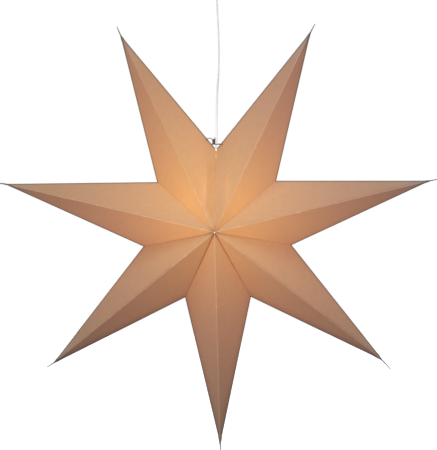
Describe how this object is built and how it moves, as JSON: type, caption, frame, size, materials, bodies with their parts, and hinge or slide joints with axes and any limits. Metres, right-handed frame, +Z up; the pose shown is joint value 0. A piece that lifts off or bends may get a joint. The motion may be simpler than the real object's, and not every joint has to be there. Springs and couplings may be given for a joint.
{
  "type": "paper advent star lamp",
  "caption": "Large hanging star of folded paper with long ridged points, lit from inside by a bulb on a white cord, with a twist tie at its top seam and a ceiling cup.",
  "frame": {"origin": "middle of the ceiling plate's two screw holes, on the ceiling plane; the star hangs below it", "axes": "+Z up, square to the ceiling; -Y out of the star's front; +X to the right as seen from the front"},
  "size_m": [1.0084, 0.2786, 1.1289],
  "materials": {
    "star_paper": "uncoated tan craft paper, matt, glowing where the lamp shines through",
    "card": "uncoated card",
    "tie_wire": "thin wire in dark brown plastic",
    "holder_plastic": "moulded white plastic",
    "insulator": "ivory insulating plastic",
    "contact_brass": "bare brass",
    "bulb_glass": "opal globe, lit",
    "cord_sheath": "white flat two-core cord",
    "fitting_plastic": "moulded white plastic"
  },
  "bodies": {
    "root": {"point_1": "star_paper", "point_2": "star_paper", "point_3": "star_paper", "point_4": "star_paper", "point_5": "star_paper", "point_6": "star_paper", "point_7": "star_paper", "seam_card_left": "card", "seam_card_right": "card", "twist_tie": "tie_wire", "holder_cap": "holder_plastic", "holder_skirt": "holder_plastic", "cord_grip": "holder_plastic", "contact_block": "insulator", "screw_shell": "contact_brass", "centre_contact": "contact_brass", "bulb": "bulb_glass", "cord": "cord_sheath", "cord_lock": "fitting_plastic", "ceiling_cup": "fitting_plastic", "ceiling_plate": "fitting_plastic"}
  },
  "joints": []
}
